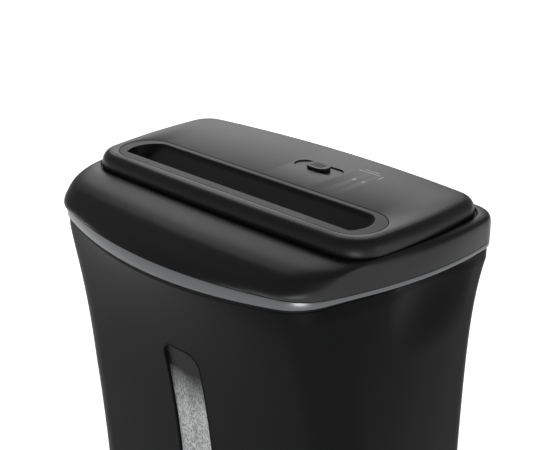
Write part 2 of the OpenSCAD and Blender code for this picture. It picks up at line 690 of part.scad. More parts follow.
module plunger_guide() {
    color("#2f3133") translate([plunger_pos.x, plunger_pos.y, floor_z]) difference() {
        translate([-8.5, -9, 0]) cube([17, 18, 21]);
        translate([0, 0, -1]) cylinder(r = 6, h = 14);
        translate([0, 0, 12]) cylinder(r = 3 + run_gap, h = 20);
    }
}
module safety_switch() {
    color("#1b1b1b") translate([plunger_pos.x, plunger_pos.y, 0]) difference() {
        translate([-8.5, -10, floor_z + 21]) cube([17, 20, 26]);
        translate([-10, -6, floor_z + 20]) cube([20, 12, 13]);
    }
}

bin_shell();
bin_window();
bin_feet();
top_cover();
trim_band();
head_base();
slot_bezel();
housing_screws();
left_frame_plate();
right_frame_plate();
tie_rods();
shaft_bushes();
front_comb();
rear_comb();
front_shaft();
front_cutters();
front_spacers();
front_timing_gear();
rear_shaft();
rear_cutters();
rear_spacers();
rear_timing_gear();
drive_gear();
middle_gear();
first_gear();
gear_pins();
gear_posts();
gear_cover();
gear_cover_screws();
motor_can();
motor_front_cap();
motor_rear_cap();
motor_stator();
motor_screws();
motor_shaft();
motor_rotor();
motor_pinion();
motor_fan();
control_board();
board_parts();
board_posts();
board_screws();
cable_gland();
mode_switch_body();
mode_knob();
indicator_lenses();
feed_lever();
lever_pin();
lever_bracket();
feed_switch();
safety_plunger();
plunger_spring();
plunger_guide();
safety_switch();
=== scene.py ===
import math

import bmesh
import bpy
import numpy as np
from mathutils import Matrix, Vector


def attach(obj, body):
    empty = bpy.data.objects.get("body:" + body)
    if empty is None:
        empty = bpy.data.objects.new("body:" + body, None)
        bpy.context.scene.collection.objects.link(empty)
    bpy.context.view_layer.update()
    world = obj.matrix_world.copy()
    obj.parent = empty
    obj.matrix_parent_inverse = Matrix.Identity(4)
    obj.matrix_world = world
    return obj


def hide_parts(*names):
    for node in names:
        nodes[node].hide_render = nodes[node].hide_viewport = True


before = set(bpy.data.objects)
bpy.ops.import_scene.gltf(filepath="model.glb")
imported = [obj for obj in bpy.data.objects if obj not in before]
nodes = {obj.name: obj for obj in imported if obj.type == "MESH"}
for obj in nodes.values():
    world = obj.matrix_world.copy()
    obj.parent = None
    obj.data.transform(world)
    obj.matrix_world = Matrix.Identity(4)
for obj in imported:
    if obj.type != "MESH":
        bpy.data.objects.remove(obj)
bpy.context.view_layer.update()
mm = 0.001  # the tables below are in millimetres
print("frame loaded:", len(nodes), "nodes")


# ---------- shader helpers ----------
class Wire:  # a socket that takes part in plain arithmetic
    def __init__(self, tree, out):
        self.tree = tree
        self.out = out

    def mix(self, operation, other):
        node = self.tree.nodes.new("ShaderNodeMath")
        node.operation = operation
        for socket, value in zip(node.inputs, (self, other)):
            feed(self.tree, socket, value)
        return Wire(self.tree, node.outputs[0])

    def __add__(self, other):
        return self.mix("ADD", other)

    def __radd__(self, other):
        return self.mix("ADD", other)

    def __sub__(self, other):
        return self.mix("SUBTRACT", other)

    def __mul__(self, other):
        return self.mix("MULTIPLY", other)

    def __truediv__(self, other):
        return self.mix("DIVIDE", other)

    def clip(self):
        return self.mix("MAXIMUM", 0.0).mix("MINIMUM", 1.0)

    def swing(self, width):  # a spread of this width round zero
        return (self - 0.5) * width


def feed(tree, socket, value):
    if isinstance(value, Wire):
        tree.links.new(value.out, socket)
    elif isinstance(value, tuple) and len(value) == 3 and socket.type == "RGBA":
        socket.default_value = (*value, 1)
    else:
        socket.default_value = value


class Finish:  # one material under construction
    def __init__(self, name):
        self.mat = bpy.data.materials.new(name)
        self.mat.use_nodes = True
        self.tree = self.mat.node_tree
        self.tree.nodes.clear()
        self.place = self.add("TexCoord", out="Object")

    def add(self, kind, settings=None, inputs=None, out=0):
        node = self.tree.nodes.new("ShaderNode" + kind)
        for key, value in (settings or {}).items():
            setattr(node, key, value)
        for key, value in (inputs or {}).items():
            feed(self.tree, node.inputs[key], value)
        return Wire(self.tree, node.outputs[out])

    def ramp(self, factor, stops):
        wire = self.add("ValToRGB", None, {0: factor})
        elements = wire.out.node.color_ramp.elements
        while len(elements) < len(stops):
            elements.new(0.5)
        for element, (at, tone) in zip(elements, stops):
            element.position = at
            element.color = (*tone, 1)
        return wire

    def noise(self, scale, detail=3.0, rough=0.55, stretch=(1, 1, 1)):
        place = self.place
        if stretch != (1, 1, 1):
            place = self.add("Mapping", None, {"Vector": place, "Scale": stretch})
        inputs = {"Vector": place, "Scale": scale, "Detail": detail, "Roughness": rough}
        return self.add("TexNoise", None, inputs)

    def tint(self, factor, low, high):
        return self.add("Mix", {"data_type": "RGBA"}, {0: factor, 6: low, 7: high}, out=2)

    def bump(self, height, distance, strength=1.0):
        inputs = {"Height": height, "Distance": distance, "Strength": strength}
        return self.add("Bump", None, inputs)

    def end(self, color, rough, normal=None, **fixed):
        inputs = {"Base Color": color, "Roughness": rough}
        if normal is not None:
            inputs["Normal"] = normal
        for key, value in fixed.items():
            inputs[key.replace("_", " ")] = value
        shader = self.add("BsdfPrincipled", None, inputs)
        out = self.tree.nodes.new("ShaderNodeOutputMaterial")
        self.tree.links.new(shader.out, out.inputs[0])
        return self.mat


# ---------- finishes ----------
moulding = {
    "cloud": 9.0, "cloudShare": 0.7, "grainShare": 0.3, "grainDetail": 2.0, "grainRough": 0.6,
    "cloudSwing": 0.10, "grainSwing": 0.08, "strength": 0.8,
}
plastics = {
    "bin_black": {
        "dark": (0.0040, 0.0041, 0.0044), "light": (0.0062, 0.0064, 0.0068),
        "rough": 0.44, "gloss": 0.03, "grain": 2300.0, "depth": 0.00006,
    },
    "cover_black": {
        "dark": (0.0045, 0.0046, 0.0049), "light": (0.0070, 0.0072, 0.0076),
        "rough": 0.38, "gloss": 0.30, "grain": 2300.0, "depth": 0.00006,
    },
    "bezel_black": {
        "dark": (0.0030, 0.0031, 0.0033), "light": (0.0046, 0.0047, 0.0050),
        "rough": 0.42, "gloss": 0.16, "grain": 2600.0, "depth": 0.00004,
    },
    "base_black": {
        "dark": (0.0040, 0.0041, 0.0044), "light": (0.0060, 0.0062, 0.0066),
        "rough": 0.50, "gloss": 0.06, "grain": 1900.0, "depth": 0.00005,
    },
    "spacer_plastic": {
        "dark": (0.020, 0.021, 0.022), "light": (0.034, 0.035, 0.037),
        "rough": 0.55, "gloss": 0.40, "grain": 1500.0, "depth": 0.00004,
    },
    "gear_nylon": {
        "dark": (0.56, 0.54, 0.47), "light": (0.70, 0.68, 0.61),
        "rough": 0.42, "gloss": 0.45, "grain": 1200.0, "depth": 0.00003,
    },
    "dark_plastic": {
        "dark": (0.016, 0.017, 0.018), "light": (0.028, 0.029, 0.031),
        "rough": 0.50, "gloss": 0.45, "grain": 1700.0, "depth": 0.00004,
    },
    "knob_grey": {
        "dark": (0.010, 0.0102, 0.0106), "light": (0.015, 0.0153, 0.0158),
        "rough": 0.42, "gloss": 0.36, "grain": 2100.0, "depth": 0.00004,
    },
    "lever_white": {
        "dark": (0.62, 0.62, 0.60), "light": (0.74, 0.74, 0.72),
        "rough": 0.40, "gloss": 0.45, "grain": 1500.0, "depth": 0.00003,
    },
}


def mouldedPlastic(name, look):
    f = Finish(name)
    grain = f.noise(look["grain"], moulding["grainDetail"], moulding["grainRough"])
    cloud = f.noise(moulding["cloud"])
    blend = cloud * moulding["cloudShare"] + grain * moulding["grainShare"]
    shade = f.tint(blend, look["dark"], look["light"])
    rough = look["rough"] + cloud.swing(moulding["cloudSwing"]) + grain.swing(moulding["grainSwing"])
    normal = f.bump(grain, look["depth"], moulding["strength"])
    return f.end(shade, rough, normal, Specular_IOR_Level=look["gloss"])


brushing = {
    "streak": 160.0, "streakRough": 0.65, "streakShare": 0.6, "streakSwing": 0.22, "cloud": 30.0,
    "cloudShare": 0.4, "cloudSwing": 0.12, "detail": 4.0, "depth": 0.00006, "strength": 0.6,
}
metals = {  # run stretches the streaks along the way the metal was worked
    "frame_steel": {
        "dark": (0.46, 0.47, 0.48), "light": (0.62, 0.63, 0.64), "rough": 0.36, "run": (1, 0.06, 1),
    },
    "shaft_steel": {
        "dark": (0.42, 0.43, 0.44), "light": (0.60, 0.61, 0.62), "rough": 0.28, "run": (0.05, 1, 1),
    },
    "cutter_steel": {
        "dark": (0.30, 0.30, 0.31), "light": (0.48, 0.48, 0.49), "rough": 0.34, "run": (1, 0.3, 0.3),
    },
    "bush_bronze": {
        "dark": (0.42, 0.27, 0.12), "light": (0.60, 0.41, 0.20), "rough": 0.40, "run": (0.2, 1, 1),
    },
    "pinion_brass": {
        "dark": (0.56, 0.40, 0.15), "light": (0.76, 0.58, 0.27), "rough": 0.30, "run": (0.2, 1, 1),
    },
    "motor_steel": {
        "dark": (0.34, 0.35, 0.36), "light": (0.50, 0.51, 0.52), "rough": 0.38, "run": (0.08, 1, 1),
    },
    "cap_alloy": {
        "dark": (0.50, 0.50, 0.50), "light": (0.68, 0.68, 0.68), "rough": 0.48, "run": (1, 1, 1),
    },
    "screw_zinc": {
        "dark": (0.52, 0.53, 0.52), "light": (0.72, 0.73, 0.72), "rough": 0.32, "run": (1, 1, 1),
    },
    "spring_steel": {
        "dark": (0.44, 0.45, 0.46), "light": (0.64, 0.65, 0.66), "rough": 0.26, "run": (1, 1, 0.2),
    },
}


def brushedMetal(name, look):
    f = Finish(name)
    streak = f.noise(brushing["streak"], brushing["detail"], brushing["streakRough"], look["run"])
    cloud = f.noise(brushing["cloud"], brushing["detail"])
    blend = streak * brushing["streakShare"] + cloud * brushing["cloudShare"]
    shade = f.tint(blend, look["dark"], look["light"])
    rough = look["rough"] + streak.swing(brushing["streakSwing"]) + cloud.swing(brushing["cloudSwing"])
    return f.end(shade, rough, f.bump(streak, brushing["depth"], brushing["strength"]), Metallic=1.0)


trimLook = {
    "flake": 5200.0, "cloud": 14.0, "dark": (0.088, 0.090, 0.092), "light": (0.120, 0.122, 0.125),
    "rough": 0.26, "swing": 0.08, "depth": 0.00002, "metal": 0.75,
}


def trimPaint():
    f = Finish("trim_grey")
    flake = f.noise(trimLook["flake"], 1.0)
    cloud = f.noise(trimLook["cloud"])
    shade = f.tint(flake * 0.5 + cloud * 0.5, trimLook["dark"], trimLook["light"])
    rough = trimLook["rough"] + cloud.swing(trimLook["swing"])
    return f.end(shade, rough, f.bump(flake, trimLook["depth"], 0.5), Metallic=trimLook["metal"])


rubberLook = {"dust": 420.0, "dusty": 2.2, "rough": 0.78, "swing": 0.15, "depth": 0.00015, "gloss": 0.3}


def rubber(name, tone):
    f = Finish(name)
    dust = f.noise(rubberLook["dust"], 4.0, 0.7)
    shade = f.tint(dust, (tone,) * 3, (tone * rubberLook["dusty"],) * 3)
    rough = rubberLook["rough"] + dust.swing(rubberLook["swing"])
    normal = f.bump(dust, rubberLook["depth"], 0.6)
    return f.end(shade, rough, normal, Specular_IOR_Level=rubberLook["gloss"])


paneLook = {  # smoked pane with the bin's inside painted on: painted shade at the top, where the head shadows the bin, and pale shreds lower down with painted shade in the gaps between them
    "shadeAbove": 0.243, "fullBelow": 0.204, "wander": 26.0, "wanderBy": 0.022,
    "strands": 620.0, "fleck": 1500.0, "strandShare": 0.7, "fleckShare": 0.3, "cut": 0.40, "hard": 5.5,
    "topShade": (0.006, 0.0062, 0.0066), "gap": (0.09, 0.092, 0.092), "shred": (0.52, 0.53, 0.53),
    "rough": 0.30, "shredRough": 0.15, "depth": 0.00004, "gloss": 0.06,
}


def smokedPane():
    f = Finish("smoked_pane")
    look = paneLook
    height = f.add("SeparateXYZ", None, {0: f.place}, out="Z")
    wander = f.noise(look["wander"]).swing(look["wanderBy"])
    # this mask is 0 in the painted shade at the top of the pane and 1 where the shreds show
    lower = ((look["shadeAbove"] + wander - height) / (look["shadeAbove"] - look["fullBelow"])).clip()
    strands = f.noise(look["strands"], 5.0, 0.75, (1, 1, 0.6))
    fine = f.noise(look["fleck"], 2.0, 0.6)
    mixed = strands * look["strandShare"] + fine * look["fleckShare"]
    shred = ((mixed - look["cut"]) * look["hard"]).clip()
    # the dark top tone is painted shade under the head; the gap tone is painted shade between the shreds
    shade = f.tint(lower, look["topShade"], f.tint(shred, look["gap"], look["shred"]))
    rough = look["rough"] + shred * look["shredRough"]
    return f.end(shade, rough, f.bump(fine, look["depth"], 0.5), Specular_IOR_Level=look["gloss"])


windingLook = {"turns": 420.0, "waver": 0.6, "dark": (0.20, 0.065, 0.025), "light": (0.62, 0.25, 0.10)}


def windings():
    f = Finish("winding_copper")
    inputs = {"Vector": f.place, "Scale": windingLook["turns"], "Distortion": windingLook["waver"]}
    turns = f.add("TexWave", {"wave_type": "BANDS", "bands_direction": "X"}, inputs)
    shade = f.tint(turns, windingLook["dark"], windingLook["light"])
    return f.end(shade, 0.34, f.bump(turns, 0.0003, 0.8), Metallic=0.85)


boardLook = {
    "Scale": 190.0, "Mortar Size": 0.03,
    "Color1": (0.02, 0.10, 0.045), "Color2": (0.015, 0.085, 0.035), "Mortar": (0.05, 0.20, 0.09),
}


def circuitBoard():
    f = Finish("board_green")
    tracks = f.add("TexBrick", None, {"Vector": f.place, **boardLook})
    weave = f.noise(900.0, 2.0)
    return f.end(tracks, 0.36 + weave.swing(0.1), f.bump(weave, 0.00003, 0.4))


bitTones = [
    (0.0, (0.018, 0.018, 0.020)), (0.45, (0.03, 0.05, 0.09)),
    (0.7, (0.16, 0.13, 0.05)), (1.0, (0.30, 0.29, 0.26)),
]


def boardBits():
    f = Finish("part_mixed")
    kinds = f.add("TexVoronoi", {"feature": "F1"}, {"Vector": f.place, "Scale": 55.0}, out="Color")
    shade = f.ramp(f.add("SeparateColor", None, {0: kinds}), bitTones)
    scuff = f.noise(300.0)
    return f.end(shade, 0.42 + scuff.swing(0.2), f.bump(scuff, 0.00004, 0.4))


def lensGlass():
    f = Finish("lens_clear")
    swirl = f.noise(240.0, 2.0)
    shade = f.tint(swirl, (0.02, 0.021, 0.022), (0.04, 0.042, 0.043))
    return f.end(shade, 0.12 + swirl * 0.06, f.bump(swirl, 0.00002, 0.3), Specular_IOR_Level=0.35)


finishes = {name: mouldedPlastic(name, look) for name, look in plastics.items()}
finishes.update({name: brushedMetal(name, look) for name, look in metals.items()})
finishes.update({
    "trim_grey": trimPaint(),
    "foot_rubber": rubber("foot_rubber", 0.012),
    "gland_rubber": rubber("gland_rubber", 0.010),
    "smoked_pane": smokedPane(),
    "winding_copper": windings(),
    "board_green": circuitBoard(),
    "part_mixed": boardBits(),
    "lens_clear": lensGlass(),
})
print("finishes made:", len(finishes))

for node in nodes.values():  # carried-over CAD nodes take the finish of their own slot
    for holder in node.material_slots:
        name = holder.material.name.split(".")[0] if holder.material else ""
        if name in finishes:
            holder.material = finishes[name]
        else:
            print("no finish for", node.name, name)


# ---------- outlines ----------
# half width, y of the widest point, side radius,
# front y, front radius, front corner, back y, back radius, back corner
shapes = {
    "rim": np.array([160, 50, 300, -108, 357, 40, 108, 900, 20.0]),
    "foot": np.array([149, 42, 420, -47, 4000, 28, 101.5, 900, 22.0]),
}
inward = np.array([-1, 0, -1, 1, -1, -1, -1, -1, -1.0])  # what each number does as the shape shrinks
arcSteps = (40, 24, 44, 16, 30)


def meet(c1, r1, c2, r2):
    v = c2 - c1
    d = np.hypot(*v)
    u = v / d
    along = (d * d + r1 * r1 - r2 * r2) / (2 * d)
    return c1 + u * along + np.array([-u[1], u[0]]) * math.sqrt(r1 * r1 - along * along)


def outline(shape):
    halfWidth, sideY, sideR, frontY, frontR, frontCorner, backY, backR, backCorner = shape
    side = np.array([halfWidth - sideR, sideY])
    front = np.array([0, frontY + frontR])
    back = np.array([0, backY - backR])
    k1 = meet(front, frontR - frontCorner, side, sideR - frontCorner)
    k2 = meet(side, sideR - backCorner, back, backR - backCorner)
    joins = [math.atan2(v[1], v[0]) for v in (k1 - front, k1 - side, k2 - side, k2 - back)]
    turns = [-math.pi / 2] + joins + [math.pi / 2]
    centres = (front, k1, side, k2, back)
    radii = (frontR, frontCorner, sideR, backCorner, backR)
    half = []
    for centre, radius, a0, a1, count in zip(centres, radii, turns, turns[1:], arcSteps):
        for i in range(count):
            a = a0 + (a1 - a0) * i / count
            half.append((centre[0] + radius * math.cos(a), centre[1] + radius * math.sin(a)))
    half.append((0.0, backY))
    mirrored = [(-x, y) for x, y in half[-2:0:-1]]
    return np.array(half + mirrored)


def inset(shape, t):
    return shape + inward * t


def level(shape, z):
    flat = outline(shape)
    return np.column_stack([flat, np.full(len(flat), z)])


def lerp(a, b, f):
    return a + (b - a) * f


def clamp(v):
    return np.clip(v, 0.0, 1.0)


def easeIn(v):
    v = clamp(v)
    return v * v * (3 - 2 * v)


def smoothPath(points, parts=5):  # a curve through the points, with parts steps between each pair
    p = np.array(points, float)
    p = np.vstack([2 * p[0] - p[1], p, 2 * p[-1] - p[-2]])
    path = []
    for i in range(1, len(p) - 2):
        a, b, c, d = p[i - 1:i + 3]
        for j in range(parts):
            t = j / parts
            bend = (2 * a - 5 * b + 4 * c - d) * t * t + (3 * b - a - 3 * c + d) * t ** 3
            path.append(0.5 * (2 * b + (c - a) * t + bend))
    path.append(p[-2])
    return path


def fineLoop(flat, pitch):  # the loop with its long sides cut into steps of about this length
    loop = []
    for i, (x, y) in enumerate(flat):
        nx, ny = flat[(i + 1) % len(flat)]
        parts = max(1, int(math.hypot(nx - x, ny - y) / pitch))
        loop += [(x + (nx - x) * j / parts, y + (ny - y) * j / parts) for j in range(parts)]
    return np.array(loop)


# ---------- mesh helpers ----------
weld = 0.000002


def makeObject(name, points, faces, finish, hinge=35):
    mesh = bpy.data.meshes.new(name)
    mesh.from_pydata([tuple(map(float, q * mm)) for q in np.asarray(points)], [], faces)
    obj = bpy.data.objects.new(name, mesh)
    bpy.context.scene.collection.objects.link(obj)
    mesh.materials.append(finishes[finish])
    tidyMesh(obj, hinge)
    return obj


def tidyMesh(obj, hinge):  # edges that fold by more than hinge degrees stay sharp
    bm = bmesh.new()
    bm.from_mesh(obj.data)
    bmesh.ops.remove_doubles(bm, verts=bm.verts, dist=weld)
    bmesh.ops.recalc_face_normals(bm, faces=bm.faces)
    for face in bm.faces:
        face.smooth = True
    for edge in bm.edges:
        edge.smooth = len(edge.link_faces) == 2 and edge.calc_face_angle(0) < math.radians(hinge)
    bm.to_mesh(obj.data)
    bm.free()


def ringStack(name, rings, finish, looped=False, hinge=35):
    n, k = len(rings[0]), len(rings)
    faces = []
    for j in range(k if looped else k - 1):
        a, c = j * n, ((j + 1) % k) * n
        for i in range(n):
            m = (i + 1) % n
            faces.append((a + i, a + m, c + m, c + i))
    if not looped:
        faces += [tuple(range(n)), tuple(range((k - 1) * n, k * n))]
    return makeObject(name, np.vstack(rings), faces, finish, hinge)


def pillFlat(cx, cy, w, d, n=20):
    right = [(1, -math.pi / 2 + math.pi * i / n) for i in range(n + 1)]
    left = [(-1, math.pi / 2 + math.pi * i / n) for i in range(n + 1)]
    reach, r = (w - d) / 2, d / 2
    return [(cx + s * reach + r * math.cos(a), cy + r * math.sin(a)) for s, a in right + left]


def roundedFlat(w, h, r, n=10):
    flat = []
    for sx, sy, a0 in ((1, -1, -90), (1, 1, 0), (-1, 1, 90), (-1, -1, 180)):
        for i in range(n + 1):
            a = math.radians(a0 + 90 * i / n)
            flat.append((sx * (w / 2 - r) + r * math.cos(a), sy * (h / 2 - r) + r * math.sin(a)))
    return flat


def upright(x, y, z):
    return (x, y, z)


def facing(x, y, z):  # a flat shape stood up, to go through a front or back wall
    return (x, z, y)


def prism(flat, low, high, turn=upright):
    return [np.array([turn(x, y, z) for x, y in flat]) for z in (low, high)]


def cutAway(obj, cutters, hinge=35):
    for rings in cutters:
        tool = ringStack("cutter", rings, "dark_plastic")
        cut = obj.modifiers.new("cut", "BOOLEAN")
        cut.operation = "DIFFERENCE"
        cut.solver = "EXACT"
        cut.object = tool
        graph = bpy.context.evaluated_depsgraph_get()
        mesh = bpy.data.meshes.new_from_object(obj.evaluated_get(graph))
        obj.modifiers.clear()
        obj.data = mesh
        bpy.data.objects.remove(tool)
    tidyMesh(obj, hinge)


def tube(name, path, radius, finish, sides=10):  # a closed bead along a loop in an upright plane
    path = np.array(path, float)
    angles = [2 * math.pi * j / sides for j in range(sides)]
    rings = []
    for i in range(len(path)):
        ahead = path[(i + 1) % len(path)] - path[i - 1]
        ahead /= np.linalg.norm(ahead)
        side = np.cross(ahead, (0, 1, 0))
        side /= np.linalg.norm(side)
        up = np.cross(side, ahead)
        spokes = [math.cos(a) * side + math.sin(a) * up for a in angles]
        rings.append(path[i] + radius * np.array(spokes))
    return ringStack(name, rings, finish, looped=True)


# ---------- camera, light, floor ----------
view = {"at": (0.5512, -0.5488, 0.6686), "tilt": 67.2, "turn": 43.9, "lens": 71.9, "near": 0.02}
camera = bpy.data.objects.new("camera", bpy.data.cameras.new("camera"))
camera.location = view["at"]
camera.rotation_euler = (math.radians(view["tilt"]), 0, math.radians(view["turn"]))
camera.data.lens = view["lens"]
camera.data.clip_start = view["near"]
bpy.context.scene.collection.objects.link(camera)
bpy.context.scene.camera = camera

floorLook = {"half": 9, "dark": (0.88, 0.88, 0.88), "light": (0.90, 0.90, 0.90), "glow": 0.90}


def makeFloor():
    s = floorLook["half"]
    mesh = bpy.data.meshes.new("floor")
    mesh.from_pydata([(-s, -s, 0), (s, -s, 0), (s, s, 0), (-s, s, 0)], [], [(0, 1, 2, 3)])
    obj = bpy.data.objects.new("floor", mesh)
    bpy.context.scene.collection.objects.link(obj)
    f = Finish("floor_white")
    paper = f.tint(f.noise(2.0, 2.0), floorLook["dark"], floorLook["light"])
    glow = {"Emission_Color": (1, 1, 1), "Emission_Strength": floorLook["glow"]}
    mesh.materials.append(f.end(paper, 0.9, None, Specular_IOR_Level=0.0, **glow))


makeFloor()

skyTones = [(0.25, (0.36, 0.36, 0.36)), (0.75, (0.24, 0.24, 0.25))]
world = bpy.data.worlds.new("studio")
bpy.context.scene.world = world
world.use_nodes = True
tree = world.node_tree
around = tree.nodes.new("ShaderNodeTexCoord")
split = tree.nodes.new("ShaderNodeSeparateXYZ")
sky = tree.nodes.new("ShaderNodeValToRGB")
tree.links.new(around.outputs["Generated"], split.inputs[0])
tree.links.new(split.outputs["Z"], sky.inputs[0])
tree.links.new(sky.outputs[0], tree.nodes["Background"].inputs[0])
for element, (at, tone) in zip(sky.color_ramp.elements, skyTones):
    element.position = at
    element.color = (*tone, 1)
bpy.context.scene.view_settings.view_transform = "Standard"

lamps = {
    "behind": {"at": (-1.35, 1.30, 1.25), "aim": (0, 0, 0.38), "size": 1.25, "power": 9.5},
    "corner": {"at": (0.72, -0.84, 0.16), "aim": (0.1, -0.1, 0.34), "size": 0.40, "power": 4.2},
    "right": {"at": (2.1, 0.6, 0.7), "aim": (0, 0, 0.3), "size": 0.9, "power": 5},
}
for name, lamp in lamps.items():
    light = bpy.data.objects.new(name, bpy.data.lights.new(name, "AREA"))
    light.data.size = lamp["size"]
    light.data.energy = lamp["power"]
    light.location = lamp["at"]
    way = Vector(lamp["aim"]) - Vector(lamp["at"])
    light.rotation_euler = way.to_track_quat("-Z", "Y").to_euler()
    bpy.context.scene.collection.objects.link(light)
print("camera, light and floor set")


# ---------- the seam, which dips at the front ----------
seam = {
    "bandTop": 349.0, "bandSide": 3.5, "smile": 7.0, "smileFrom": -40, "smileDepth": 68,
    "shadow": 0.8, "shadowDip": 2.8, "gap": 0.6,
}


def smile(y):
    return clamp((seam["smileFrom"] - y) / seam["smileDepth"]) ** 2


def bandLow(y):
    return seam["bandTop"] - seam["bandSide"] - seam["smile"] * smile(y)


def seamZ(y):
    return bandLow(y) - seam["shadow"] - seam["shadowDip"] * smile(y)


# ---------- top cover ----------
# paired numbers are an inset, or a share of the way from rim to foot, and a height from the deck
cover = {
    "deck": 380.0, "wall": 2.5, "slotY": -11.0, "slotW": 264.0, "slotD": 46.0,
    "slotLip": [(0.5, -1.6), (0.5, -0.5), (0.62, -0.15), (0.9, 0)],
    "pillow": [(9.6, 0), (6, -0.6), (3.2, -2.2), (1.2, -5), (0.2, -8.5), (0, -11.6)],
    "moat": [(-0.1, -13.5), (-1.1, -13.7), (-1.3, -12.4)],
    "shoulder": [
        (0.93, -11.7), (0.8, -11.9), (0.58, -13.6), (0.42, -16.0),
        (0.34, -18.0), (0.25, -21), (0.13, -25), (0, -30.7),
    ],
    "shoulderBack": [
        (0.8, -11.2), (0.6, -11.0), (0.35, -11.1), (0.19, -11.6),
        (0.07, -13.2), (0.015, -16.5), (0, -22), (0, -30.7),
    ],
    "inside": [(2.6, -14.6), (4, -7.5), (7, -3.6), (10.6, -2.5)],
    "fullFrom": -20, "fullOver": 90,
}
knobSeat = {"x": 20, "y": 52, "w": 46, "d": 17, "deep": 0.9, "trackW": 22, "trackD": 6}
lensHoles = {"x": 56, "pitch": 9, "w": 4.01, "d": 4}
vents = {"from": -62, "to": 42, "pitch": 7, "z": 357.5, "w": 9, "d": 3, "cut": (92, 125)}
glandHole = {"x": 98, "z": 357, "w": 13.01, "d": 13, "cut": (90, 120)}


def fullness(y):  # the shoulder fills out from the front corners to the back
    return easeIn((y - cover["fullFrom"]) / cover["fullOver"])


def shoulderRing(front, back, t, drop):
    a = outline(inset(lerp(shapes["rim"], shapes["foot"], front[0]), t))
    b = outline(inset(lerp(shapes["rim"], shapes["foot"], back[0]), t))
    k = fullness(a[:, 1])
    flat = a + (b - a) * k[:, None]
    return np.column_stack([flat, cover["deck"] - drop + lerp(front[1], back[1], k)])


def slotEdge(shape, grow, z):  # points round the paper slot that face the points of the outline
    flat = outline(shape)
    half = (cover["slotW"] - cover["slotD"]) / 2
    centre = np.column_stack([np.clip(flat[:, 0], -half, half), np.full(len(flat), cover["slotY"])])
    out = flat - centre
    out /= np.linalg.norm(out, axis=1)[:, None]
    flat = centre + out * (cover["slotD"] / 2 + grow)
    return np.column_stack([flat, np.full(len(flat), z)])


def coverCutters():
    deck = cover["deck"]
    above, below = deck + 2, deck - 8
    seat, lens, hole = knobSeat, lensHoles, glandHole
    yield prism(pillFlat(seat["x"], seat["y"], seat["w"], seat["d"]), deck - seat["deep"], above)
    yield prism(pillFlat(seat["x"], seat["y"], seat["trackW"], seat["trackD"]), below, above)
    for i in (0, 1):
        x = lens["x"] + lens["pitch"] * i
        yield prism(pillFlat(x, seat["y"], lens["w"], lens["d"]), below, above)
    slit = pillFlat(0, 0, vents["w"], vents["d"], 8)
    for x in range(vents["from"], vents["to"], vents["pitch"]):
        yield prism([(x + b, vents["z"] + a) for a, b in slit], *vents["cut"], facing)
    yield prism(pillFlat(hole["x"], hole["z"], hole["w"], hole["d"]), *hole["cut"], facing)


def makeCover():
    foot, deck, wall = shapes["foot"], cover["deck"], cover["wall"]
    front, back = smoothPath(cover["shoulder"]), smoothPath(cover["shoulderBack"])
    rings = [slotEdge(foot, grow, deck + dz) for grow, dz in cover["slotLip"]]
    rings += [level(inset(foot, t), deck + dz) for t, dz in smoothPath(cover["pillow"])]
    rings += [level(inset(foot, t), deck + dz) for t, dz in cover["moat"]]
    rings += [shoulderRing(a, b, 0, 0) for a, b in zip(front, back)]
    within = list(zip(cover["shoulder"], cover["shoulderBack"]))[::-1]
    rings += [shoulderRing(a, b, wall, wall if i else 0) for i, (a, b) in enumerate(within)]
    rings += [level(inset(foot, t), deck + dz) for t, dz in cover["inside"]]
    rings += [slotEdge(foot, cover["slotLip"][0][0], deck - wall)]
    obj = ringStack("top_cover_skin", rings, "cover_black", looped=True)
    cutAway(obj, coverCutters(), 32)
    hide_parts("top_cover")
    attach(obj, "head")


makeCover()
print("top cover made")


# ---------- trim band ----------
band = {"edge": [(0.55, 0.0), (0.16, 0.16), (0.0, 0.55)], "thick": 3}


def bandRing(t, low, lift):
    flat = outline(inset(shapes["rim"], t))
    z = bandLow(flat[:, 1]) + lift if low else np.full(len(flat), seam["bandTop"] - lift)
    return np.column_stack([flat, z])


def makeBand():
    rings = [bandRing(t, True, lift) for t, lift in band["edge"]]
    rings += [bandRing(t, False, lift) for t, lift in band["edge"][::-1]]
    rings += [bandRing(band["thick"], False, 0), bandRing(band["thick"], True, 0)]
    obj = ringStack("trim_band_paint", rings, "trim_grey", looped=True, hinge=50)
    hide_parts("trim_band")
    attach(obj, "head")


makeBand()
print("trim band made")


# ---------- paper slot ----------
slot = {
    "nipY": -22.5, "gap": 7.0, "half": 111.0, "well": 122.0, "top": 379.8, "throatLow": 350.0,
    "rampEnd": 9.0, "rampLow": 366.0, "rampRun": 28, "roll": 0.9, "rollOver": 6,
    "round": 21.5, "middle": -12.5, "endSoft": 4.5, "wallY": -26.2, "wallSoft": 0.7,
    "xs": [(-132, -123, 10), (-122.6, -111, 34), (-110.5, -98, 26), (-98, 98, 44),
           (98, 110.5, 26), (111, 122.6, 34), (123, 132, 10)],
    "ys": [(-34, -26.4, 8), (-26.3, -25.4, 7), (-26, -19, 2), (-25, -19, 4),
           (-18.5, 9.5, 36), (10, 12, 4)],
    "skirt": 374.0, "slack": 0.2,
}


def slotDepth(x, y):  # how far the entry's surface lies below its rim
    back = slot["rampEnd"] - y
    ramp = np.clip(back / slot["rampRun"], 0, 1) * (slot["top"] - slot["rampLow"])
    ramp = ramp - slot["roll"] * (1 - easeIn(back / slot["rollOver"]))
    past = max(abs(x) - slot["well"] + slot["round"], 0.0)
    ends = clamp((slot["round"] - math.hypot(past, y - slot["middle"])) / slot["endSoft"])
    front = clamp((y - slot["wallY"]) / slot["wallSoft"])
    side = np.sqrt(1 - (1 - ends) ** 2)
    return np.maximum(ramp, 0) * side * front


def gridLines(spans):
    return np.unique(np.concatenate([np.linspace(*span) for span in spans]).round(3))


